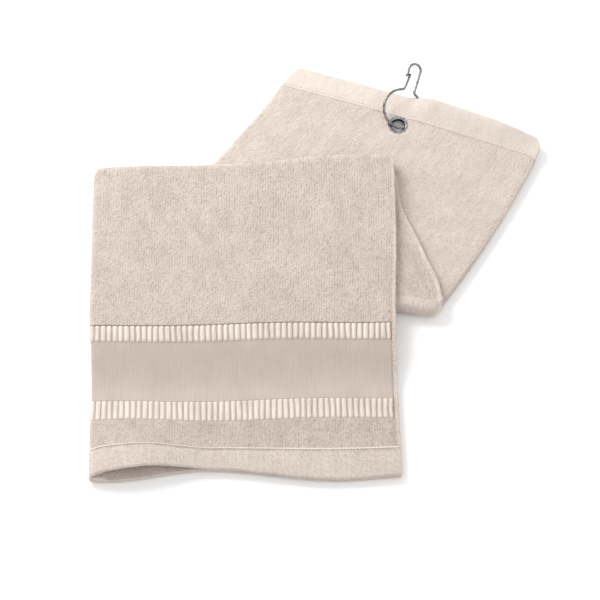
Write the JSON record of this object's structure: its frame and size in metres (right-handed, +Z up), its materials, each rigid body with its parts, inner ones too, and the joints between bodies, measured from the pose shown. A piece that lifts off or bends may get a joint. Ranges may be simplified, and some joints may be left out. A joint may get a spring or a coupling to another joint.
{
  "type": "golf towel",
  "caption": "Folded terry golf towel with a ribbed woven border, sewn hems and a metal eyelet that holds a sprung wire clip for hanging on a bag.",
  "frame": {"origin": "middle of the outline's box, on the surface that the folded towel lies on", "axes": "+Z up from the table; +X across the front panel, away from the lengthwise fold; -Y towards the bottom hem"},
  "size_m": [0.3014, 0.3032, 0.0186],
  "materials": {
    "pile": "soft cut pile",
    "hem": "turned and pressed cloth",
    "smooth_band": "flat weave",
    "rib_yarn": "raised ribbed weave",
    "thread": "sewing thread",
    "steel": "bright nickel plate"
  },
  "bodies": {
    "back_panel": {"back_cloth": "pile", "back_side_hem": "hem", "back_side_thread": "thread", "top_hem_band": "hem", "top_hem_thread": "thread", "eyelet": "steel", "eyelet_washer": "steel"},
    "middle_panel": {"middle_cloth": "pile", "middle_side_hem": "hem", "middle_side_thread": "thread"},
    "front_panel": {"front_cloth": "pile", "front_side_hem": "hem", "front_side_thread": "thread", "upper_rib_row": "rib_yarn", "border_band": "smooth_band", "lower_rib_row": "rib_yarn", "border_strip": "pile", "bottom_hem_band": "hem", "bottom_hem_thread": "thread"},
    "clip": {"clip_wire": "steel"},
    "gate": {"clip_gate": "steel"}
  },
  "joints": [
    {"name": "lower_fold", "type": "hinge", "parent": "back_panel", "child": "middle_panel", "pos_m": [-0.02907, -0.02218, 0.00515], "axis": [0.9825, -0.1865, 0], "range_deg": [0, 170]},
    {"name": "upper_fold", "type": "hinge", "parent": "middle_panel", "child": "front_panel", "pos_m": [-0.05067, 0.07136, 0.01045], "axis": [-0.9994, -0.0349, 0], "range_deg": [0, 170]},
    {"name": "clip_turn", "type": "hinge", "parent": "back_panel", "child": "clip", "pos_m": [0.05927, 0.11699, 0.0075], "axis": [0.3064, -0.3889, 0.8688], "range_deg": [0, 120]},
    {"name": "gate_spring", "type": "hinge", "parent": "clip", "child": "gate", "pos_m": [0.05904, 0.12928, 0.01308], "axis": [0.3064, -0.3889, 0.8688], "range_deg": [-18, 0], "stiffness_Nm_per_rad": 0.07, "springref_deg": 5.73}
  ],
  "couplings": [
    {"joint": "upper_fold", "follows": "lower_fold", "ratio": 1}
  ]
}
